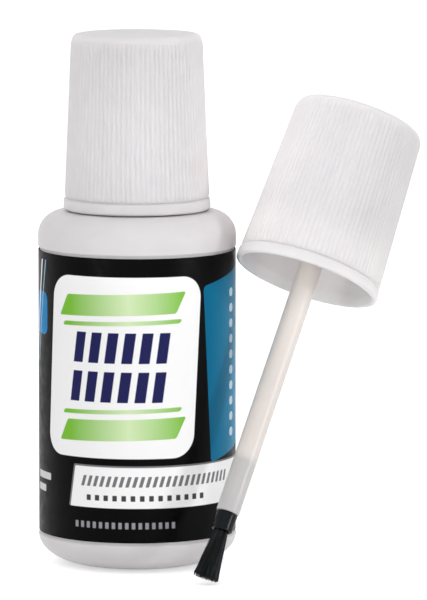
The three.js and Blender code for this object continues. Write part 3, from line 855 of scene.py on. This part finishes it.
def fluid_mesh():
    """The fluid up to its level, with a meniscus, a well for the brush and a pocket for each ball."""
    radius = INNER_RADIUS - FLUID_GAP
    bottom = BASE_THICKNESS + FLUID_GAP
    corner_level = bottom + INNER_CORNER_HEIGHT
    well = TUFT_TIP_HALF_WIDTH + FLUID_GAP
    outline = rounded([
        (well, bottom, 0),
        *base_corner(radius - INNER_CORNER_WIDTH, corner_level, INNER_CORNER_WIDTH, INNER_CORNER_HEIGHT),
        (radius, FLUID_LEVEL, 0),
        (radius - MENISCUS_WIDTH, FLUID_LEVEL - MENISCUS_DEPTH, MENISCUS_ROUNDING),
        (well + MENISCUS_WIDTH, FLUID_LEVEL - MENISCUS_DEPTH, MENISCUS_ROUNDING),
        (well, FLUID_LEVEL, 0),
    ])
    pocket_radius = BALL_RADIUS + FLUID_GAP
    pocket_top = BASE_THICKNESS + BALL_GAP + 2 * BALL_RADIUS + FLUID_GAP
    pocket = [(0, 0), (pocket_radius, 0), (pocket_radius, pocket_top), (0, pocket_top)]
    fluid = add_object("fluid_whole", make_mesh("fluid_whole", turned(outline, BOTTLE_SEGMENTS)))
    cutters = []
    for degrees in BALL_ANGLES:
        centre = ball_centre(degrees)
        cutter = add_object("pocket", make_mesh("pocket", turned(pocket, STEM_SEGMENTS)))
        cutter.location = (centre.x * MM, centre.y * MM, 0)
        cut = fluid.modifiers.new("pocket", "BOOLEAN")
        cut.operation = "DIFFERENCE"
        cut.object = cutter
        cutters.append(cutter)
    bpy.context.view_layer.update()
    mesh = bpy.data.meshes.new_from_object(fluid.evaluated_get(bpy.context.evaluated_depsgraph_get()))
    for item in [fluid, *cutters]:
        bpy.data.objects.remove(item)
    mesh.set_sharp_from_angle(angle=SHARP_ANGLE)
    return mesh


def crest_radius(height):
    return CAP_SKIRT_RADIUS - CAP_BAND_PROUD - height * CAP_TAPER


def cap_inner_radius(height):
    return crest_radius(height) - RIB_DEPTH - CAP_WALL


def rib_relief(angles, radius, height):
    """The ribs as a move of the cap's outside, inwards from their crests.

    They sink to their root between each other and at both ends.
    """
    end = min(height - RIB_BASE, RIB_TOP - height)
    if end < 0 or radius < crest_radius(height) - RIB_DEPTH / 2:
        return np.zeros(len(angles))
    fullness = min(1, end / RIB_END_LENGTH)
    crest = 1 - (0.5 + 0.5 * np.cos(RIB_COUNT * angles)) ** RIB_ROUNDNESS
    return -RIB_DEPTH * (1 - fullness * crest)


def overcap_shapes():
    """A tapered shell with a rounded bead at its edge, a groove above it, and ribs up to the crown."""
    rib_ends = [RIB_END_LENGTH * (step + 1) / RIB_END_STEPS for step in range(RIB_END_STEPS)]
    rib_levels = [RIB_BASE + end for end in rib_ends] + [RIB_TOP - end for end in reversed(rib_ends)]
    crown_radius = crest_radius(RIB_TOP) - RIB_DEPTH
    mouth = CAP_SKIRT_RADIUS - CAP_LIP_THICKNESS
    outline = rounded([
        (mouth, 0, ROUND_WIDE),
        (CAP_SKIRT_RADIUS, 0, ROUND_BEAD),
        (crest_radius(CAP_BAND_HEIGHT) + CAP_BAND_PROUD, CAP_BAND_HEIGHT, ROUND_BEAD),
        (crest_radius(CAP_BAND_HEIGHT) - RIB_DEPTH, CAP_BAND_HEIGHT, ROUND_FILM),
        (crest_radius(RIB_BASE) - RIB_DEPTH, RIB_BASE, 0),
        *[(crest_radius(level), level, 0) for level in rib_levels],
        (crown_radius, RIB_TOP, 0),
        (crown_radius, CAP_HEIGHT, CAP_TOP_FILLET),
        (0, CAP_HEIGHT, 0),
        (0, CAP_INNER_TOP, 0),
        (cap_inner_radius(CAP_INNER_TOP), CAP_INNER_TOP, CAP_INNER_FILLET),
        (cap_inner_radius(CAP_MOUTH_DEPTH), CAP_MOUTH_DEPTH, ROUND_LIP),
    ])
    shell = turned(outline, RIB_COUNT * CAP_POINTS_PER_RIB, rib_relief)
    return [shell, *grip_fins()]


def grip_fins():
    """The plates inside the overcap that hold the closure."""
    inner = CLOSURE_RADIUS + SEAT_GAP
    bottom = CLOSURE_SKIRT_RECESS + GRIP_FIN_RISE
    outer_low = cap_inner_radius(bottom) + GRIP_FIN_SINK
    outer_high = cap_inner_radius(CROWN_TOP) + GRIP_FIN_SINK
    sides = (
        (-1, GRIP_FIN_ROUNDING),
        (-GRIP_FIN_FLAT_SHARE, 0),
        (GRIP_FIN_FLAT_SHARE, 0),
        (1, GRIP_FIN_ROUNDING),
    )
    fins = []
    for i in range(GRIP_FIN_COUNT):
        turn = Matrix.Rotation(2 * math.pi * i / GRIP_FIN_COUNT, 4, "Z")
        sections = []
        for side, ease in sides:
            y = side * GRIP_FIN_THICKNESS / 2
            corners = [
                (inner + ease, y, bottom + ease),
                (outer_low, y, bottom + ease),
                (outer_high, y, CROWN_TOP),
                (inner + ease, y, CROWN_TOP),
            ]
            sections.append([tuple(turn @ Vector(corner)) for corner in corners])
        fins.append(swept(sections))
    return fins


def closure_shapes():
    outline = rounded([
        (0, SOCKET_TOP, 0),
        (STEM_SOCKET_RADIUS, SOCKET_TOP, ROUND_SOFT),
        (STEM_SOCKET_RADIUS, CROWN_BOTTOM, ROUND_FINE),
        (CLOSURE_INNER_RADIUS, CROWN_BOTTOM, ROUND_FULL),
        (CLOSURE_INNER_RADIUS, CLOSURE_SKIRT_RECESS, ROUND_FULL),
        (CLOSURE_RADIUS, CLOSURE_SKIRT_RECESS, ROUND_SOFT),
        (CLOSURE_RADIUS, CROWN_TOP, ROUND_WIDE),
        (BOSS_RADIUS, CROWN_TOP, ROUND_WIDE),
        (BOSS_RADIUS, BOSS_TOP, ROUND_SOFT),
        (0, BOSS_TOP, 0),
    ])
    thread_bottom = THREAD_START - THREAD_PITCH / 2 - CAP_BASE
    ridge = thread(CLOSURE_INNER_RADIUS, CLOSURE_THREAD_CREST, thread_bottom)
    return [turned(outline, CLOSURE_SEGMENTS), ridge]


def liner_shapes():
    outline = rounded([
        (STEM_SOCKET_RADIUS, LINER_BOTTOM, ROUND_FINE),
        (STEM_FLANGE_RADIUS, LINER_BOTTOM, ROUND_CRISP),
        (STEM_FLANGE_RADIUS, LINER_TOP, ROUND_CRISP),
        (STEM_SOCKET_RADIUS, LINER_TOP, ROUND_FINE),
    ])
    return [turned(outline, CLOSURE_SEGMENTS)]


def stem_shapes():
    outline = rounded([
        (0, STEM_BORE_TOP, 0),
        (STEM_BORE_RADIUS, STEM_BORE_TOP, ROUND_BEAD),
        (STEM_BORE_RADIUS, STEM_END, ROUND_FINE),
        (STEM_RADIUS, STEM_END, ROUND_CRISP),
        (STEM_RADIUS, STEM_FLANGE_BOTTOM, 0),
        (STEM_FLANGE_RADIUS, STEM_FLANGE_BOTTOM, ROUND_CRISP),
        (STEM_FLANGE_RADIUS, STEM_FLANGE_TOP, ROUND_CRISP),
        (STEM_RADIUS, STEM_FLANGE_TOP, ROUND_CRISP),
        (STEM_RADIUS, STEM_TOP, ROUND_FULL),
        (0, STEM_TOP, 0),
    ])
    return [turned(outline, STEM_SEGMENTS)]


def collar_shapes():
    """The collar, drawn up to the stem's end so that no seam shows, with its spigot in the stem."""
    collar_top = STEM_END - COLLAR_SEAM
    outline = rounded([
        (0, STAPLE_BORE_TOP, 0),
        (STAPLE_BORE_RADIUS, STAPLE_BORE_TOP, ROUND_FINE),
        (STAPLE_BORE_RADIUS, COLLAR_BORE_TOP, ROUND_FINE),
        (COLLAR_BORE_RADIUS, COLLAR_BORE_TOP, ROUND_FINE),
        (COLLAR_BORE_RADIUS, COLLAR_BOTTOM, ROUND_FINE),
        (COLLAR_RADIUS, COLLAR_BOTTOM, ROUND_CRISP),
        (COLLAR_RADIUS, collar_top, ROUND_FINE),
        (SPIGOT_RADIUS, collar_top, ROUND_FINE),
        (SPIGOT_RADIUS, SPIGOT_TOP, ROUND_SOFT),
        (0, SPIGOT_TOP, 0),
    ])
    return [turned(outline, STEM_SEGMENTS)]


def staple_shapes():
    half = STAPLE_BORE_RADIUS - SEAT_GAP
    return [slab(2 * half, STAPLE_THICKNESS, STAPLE_BOTTOM, STAPLE_BOTTOM + STAPLE_HEIGHT, ROUND_WIRE)]


def strand(root, tip, bow, radius):
    """One bristle: a thin tube that bows a little and narrows to its tip."""
    turns = [2 * math.pi * side / STRAND_SIDES for side in range(STRAND_SIDES)]
    sections = []
    for i in range(STRAND_STEPS + 1):
        t = i / STRAND_STEPS
        x, y, z = root + (tip - root) * t + bow * math.sin(math.pi * t)
        thickness = radius * (1 - STRAND_TAPER * t)
        sections.append([(x + thickness * math.cos(a), y + thickness * math.sin(a), z) for a in turns])
    return swept(sections)


def bristle_shapes(seed):
    """Strands in sunflower order that fan out from a backing disc and bow a little inwards."""
    random = np.random.default_rng(seed)
    golden_turn = (3 - math.sqrt(5)) / 2
    backing = rounded([
        (0, TUFT_BACKING_BOTTOM, 0),
        (TUFT_BACKING_RADIUS, TUFT_BACKING_BOTTOM, ROUND_FINE),
        (TUFT_BACKING_RADIUS, TUFT_BACKING_TOP, ROUND_FINE),
        (0, TUFT_BACKING_TOP, 0),
    ])
    shapes = [turned(backing, STEM_SEGMENTS)]
    root_level = TUFT_BACKING_BOTTOM + STRAND_ROOT_DEPTH
    half_width = TUFT_TIP_HALF_WIDTH - STRAND_RADIUS
    half_depth = TUFT_TIP_HALF_DEPTH - STRAND_RADIUS
    for i in range(STRAND_COUNT):
        reach = math.sqrt((i + 0.5) / STRAND_COUNT)
        turn = 2 * math.pi * golden_turn * i
        across, deep = reach * math.cos(turn), reach * math.sin(turn)
        root = Vector((TUFT_ROOT_RADIUS * across, TUFT_ROOT_RADIUS * deep, root_level))
        shortfall = TUFT_UNEVENNESS * random.random() ** 2
        stray = STRAND_STRAY * random.standard_normal(2)
        tip = Vector((
            np.clip(half_width * across + stray[0], -half_width, half_width),
            np.clip(half_depth * deep + stray[1], -half_depth, half_depth),
            BRUSH_TIP + shortfall,
        ))
        bow = Vector((*(STRAND_BOW * random.standard_normal(2)), 0))
        bow -= STRAND_INWARD_BOW * Vector((across, deep, 0))
        shapes.append(strand(root, tip, bow, STRAND_RADIUS))
    return shapes


# Placing the pieces
def place(node, mesh, material, body, slot, placement=None):
    """A finished piece that stands for a CAD node and rides on its body. Its place is in its mesh."""
    mesh.materials.append(material)
    if placement:
        mesh.transform(placement)
    piece = add_object(f"{node}_finished", mesh)
    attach(piece, body)
    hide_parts(node)


def loose_placement():
    """The loose applicator's place: leaned back, then to the side, on its lowest bristles."""
    rise = math.cos(LOOSE_LEAN_BACK) * math.cos(LOOSE_LEAN_SIDE)
    drop = math.hypot(
        (TUFT_TIP_HALF_WIDTH + STRAND_RADIUS) * math.sin(LOOSE_LEAN_SIDE),
        (TUFT_TIP_HALF_DEPTH + STRAND_RADIUS) * math.sin(LOOSE_LEAN_BACK) * math.cos(LOOSE_LEAN_SIDE),
    )
    standing = Vector((LOOSE_X, LOOSE_Y, LOOSE_BRUSH_GAP + drop - BRUSH_TIP * rise)) * MM
    side = Matrix.Rotation(LOOSE_LEAN_SIDE, 4, "Y")
    back = Matrix.Rotation(-LOOSE_LEAN_BACK, 4, "X")
    return Matrix.Translation(standing) @ side @ back


def make_bottle():
    place("bottle_body", make_mesh("bottle", *bottle_shapes()), bottle_material(), "bottle", "bottle")
    place("wrap_label", make_mesh("label", *label_shapes()), label_material(), "bottle", "label")
    place("neck_wiper", make_mesh("wiper", *wiper_shapes()), wiper_material(), "bottle", "wiper")
    place("correction_fluid", fluid_mesh(), fluid_material(), "bottle", "fluid")
    steel = steel_material("ball_steel", 0.12, 0.26)
    for i, degrees in enumerate(BALL_ANGLES, 1):
        centre = Matrix.Translation(ball_centre(degrees) * MM)
        mesh = make_mesh(f"ball_{i}", *ball_shapes())
        place(f"mixing_ball_{i}", mesh, steel, f"ball_{i}", "ball", centre)


def make_applicators():
    """The closed and the loose applicator, which share their shapes but for the strands of the brush."""
    closed, loose = Matrix.Translation((0, 0, CAP_BASE * MM)), loose_placement()
    shared_kinds = (
        ("overcap", overcap_shapes, cap_material(), "cap", "cap"),
        ("screw_closure", closure_shapes, closure_material(), "cap", "closure"),
        ("sealing_liner", liner_shapes, liner_material(), "liner", "liner"),
        ("tuft_collar", collar_shapes, collar_material(), "stem_set", "collar"),
        ("tuft_staple", staple_shapes, steel_material("staple_steel", 0.24, 0.38), "stem_set", "staple"),
    )
    for node, shapes, material, body, slot in shared_kinds:
        place(node, make_mesh(node, *shapes()), material, body, slot, closed)
        mesh = make_mesh(f"loose_{node}", *shapes())
        place(f"loose_{node}", mesh, material, "loose_applicator", slot, loose)
    own_kinds = ((1, "", "stem_set", closed), (2, "loose_", "loose_applicator", loose))
    for seed, prefix, body, placement in own_kinds:
        mesh = make_mesh(f"{prefix}brush_stem", *stem_shapes())
        material = stem_material(f"{prefix}stem_polypropylene", placement)
        place(f"{prefix}brush_stem", mesh, material, body, "stem", placement)
        mesh = make_mesh(f"{prefix}bristles", *bristle_shapes(seed))
        material = bristle_material(f"{prefix}bristle_nylon", placement)
        place(f"{prefix}bristles", mesh, material, body, "bristle", placement)


# Studio, with its lights' places in degrees round and above the object, 0 at the camera's side
WORLD_LIGHT = 0.95
LEFT_SHADE = 0.25
RIGHT_SHADE = 0.55
SPOT_DISTANCE = 400
FLOOR_HALF_WIDTH = 4000
FLOOR_DROP = 0.05
FLOOR_GLOW = 0.5


def make_camera():
    data = bpy.data.cameras.new("camera")
    data.sensor_width = SENSOR
    data.lens = SENSOR * CAMERA_DISTANCE / FRAMED_HEIGHT
    camera = add_object("camera", data)
    back = Vector((0, -math.cos(CAMERA_ELEVATION), math.sin(CAMERA_ELEVATION)))
    camera.location = (CAMERA_TARGET + back * CAMERA_DISTANCE) * MM
    camera.rotation_euler = (math.pi / 2 - CAMERA_ELEVATION, 0, 0)
    bpy.context.scene.camera = camera


def aim_lamp(name, data, target, azimuth, elevation, distance):
    """A lamp that faces its target. Azimuth 90 is to the right."""
    lamp = add_object(name, data)
    turn, rise = math.radians(azimuth), math.radians(elevation)
    towards = Vector((math.sin(turn) * math.cos(rise), -math.cos(turn) * math.cos(rise), math.sin(rise)))
    lamp.location = (target + towards * distance) * MM
    lamp.rotation_euler = (-towards).to_track_quat("-Z", "Y").to_euler()


def make_lamp(name, azimuth, elevation, distance, size, power):
    """A soft square lamp that faces the middle of the picture."""
    data = bpy.data.lights.new(name, "AREA")
    data.size = size * MM
    data.energy = power
    aim_lamp(name, data, CAMERA_TARGET, azimuth, elevation, distance)


def make_spot(name, target, azimuth, elevation, size, cone, power):
    """A lamp with a narrow cone, which lights only what is near its target."""
    data = bpy.data.lights.new(name, "SPOT")
    data.shadow_soft_size = size * MM / 2
    data.spot_size = math.radians(cone)
    data.spot_blend = 1
    data.energy = power
    aim_lamp(name, data, Vector(target), azimuth, elevation, SPOT_DISTANCE)


def background_rays(nodes):
    """1 for the rays that see the plain white background: camera, glossy and transmission rays."""
    rays = nodes.node("ShaderNodeLightPath").outputs
    seen = rays["Is Camera Ray"]
    for kind in ("Is Glossy Ray", "Is Transmission Ray"):
        seen = nodes.math("MAXIMUM", seen, rays[kind])
    return seen


def make_world():
    """Soft light from all round, weaker from the left and weakest from the right."""
    world = bpy.data.worlds.new("studio")
    bpy.context.scene.world = world
    world.use_nodes = True
    nodes = Nodes(world.node_tree)
    background = nodes.tree.nodes["Background"]
    background.inputs["Color"].default_value = (1, 1, 1, 1)
    rightward = nodes.axes(nodes.node("ShaderNodeTexCoord").outputs["Generated"])[0]
    light = nodes.math("MULTIPLY_ADD", nodes.math("MAXIMUM", rightward, 0.0), -RIGHT_SHADE, WORLD_LIGHT)
    light = nodes.math("MULTIPLY_ADD", nodes.math("MINIMUM", rightward, 0.0), LEFT_SHADE, light)
    nodes.plug(background.inputs["Strength"], nodes.math("MAXIMUM", background_rays(nodes), light))


def make_floor():
    """A plain pale floor that keeps the object's shadow and looks white to the camera."""
    half = FLOOR_HALF_WIDTH
    corners = ((-half, -half, 0), (half, -half, 0), (half, half, 0), (-half, half, 0))
    mesh = bpy.data.meshes.new("floor")
    mesh.from_pydata([Vector(corner) * MM for corner in corners], [], [(0, 1, 2, 3)])
    floor = add_object("floor", mesh)
    floor.location.z = -FLOOR_DROP * MM
    surface = Surface("floor_paper", Roughness=0.9, Specular_IOR_Level=0.1)
    grain = surface.noise(surface.position(), scale=60)
    surface.set("Base Color", surface.mix(grain, srgb(249, 249, 249), srgb(253, 253, 253)))
    paper = surface.shader.outputs[0]
    glow = surface.node("ShaderNodeEmission", {"Strength": FLOOR_GLOW}).outputs[0]
    lit = surface.node("ShaderNodeAddShader", {0: paper, 1: glow}).outputs[0]
    shown = surface.node("ShaderNodeMixShader", {0: background_rays(surface), 1: paper, 2: lit}).outputs[0]
    surface.plug(surface.tree.nodes["Material Output"].inputs["Surface"], shown)
    mesh.materials.append(surface.material)


make_camera()
make_world()
make_floor()
make_lamp("lamp_top", azimuth=0, elevation=50, distance=500, size=420, power=0.15)
make_lamp("lamp_front", azimuth=-5, elevation=4, distance=700, size=300, power=0.2)
make_spot("lamp_cap", (0, 0, 62), azimuth=66, elevation=12, size=50, cone=9, power=2.2)
make_spot("lamp_body", (0, 0, 8), azimuth=62, elevation=4, size=90, cone=11, power=3.6)
make_spot("lamp_loose_cap", (27, -1, 61), azimuth=-45, elevation=-1, size=30, cone=6.8, power=3.2)
make_spot("lamp_mouth", (23, 3, 38), azimuth=10, elevation=-4.5, size=16, cone=2.6, power=1.2)
make_spot("lamp_base", (0, 0, 2), azimuth=15, elevation=1, size=60, cone=6, power=1.6)
make_bottle()
make_applicators()
bpy.context.scene.view_settings.view_transform = "Standard"
